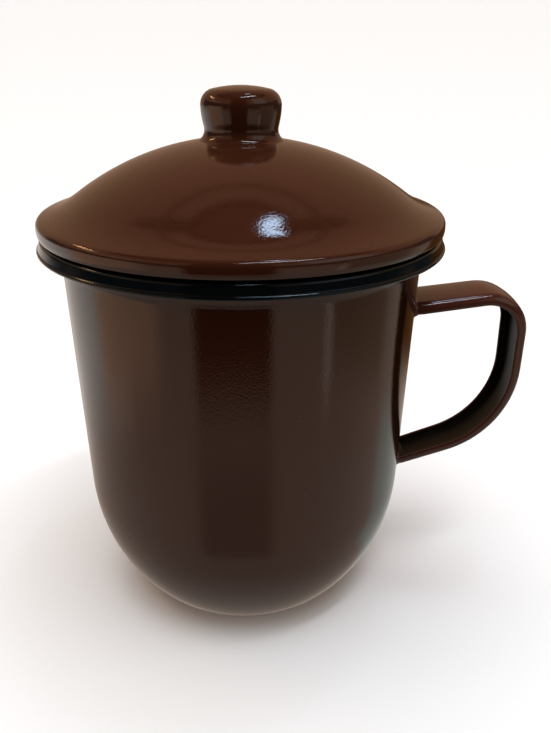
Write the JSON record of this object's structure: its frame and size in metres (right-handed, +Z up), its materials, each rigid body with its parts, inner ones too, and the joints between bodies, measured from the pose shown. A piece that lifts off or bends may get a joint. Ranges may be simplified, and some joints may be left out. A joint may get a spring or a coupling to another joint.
{
  "type": "lidded enamel mug",
  "caption": "Enamel mug used as a kitchen canister, with a rounded belly, a black rim, a tapering strap handle and a lift-off domed lid with a round knob.",
  "frame": {"origin": "middle of the flat base, on the surface that the mug stands on", "axes": "+Z up along the mug's axis, +X from the axis through the handle"},
  "size_m": [0.1147, 0.0924, 0.1222],
  "materials": {
    "brown_enamel": "glossy brown enamel on steel sheet",
    "black_enamel": "glossy black enamel on steel sheet"
  },
  "bodies": {
    "mug": {"mug_shell": "brown_enamel", "rim_band": "black_enamel", "handle_strap": "brown_enamel", "upper_weld": "black_enamel", "lower_weld": "black_enamel"},
    "lid": {"lid_shell": "brown_enamel", "lid_collar": "brown_enamel", "knob": "brown_enamel"}
  },
  "joints": [
    {"name": "lid_lift", "type": "slide", "parent": "mug", "child": "lid", "axis": [0, 0, 1], "range_m": [0, 0.06]}
  ]
}
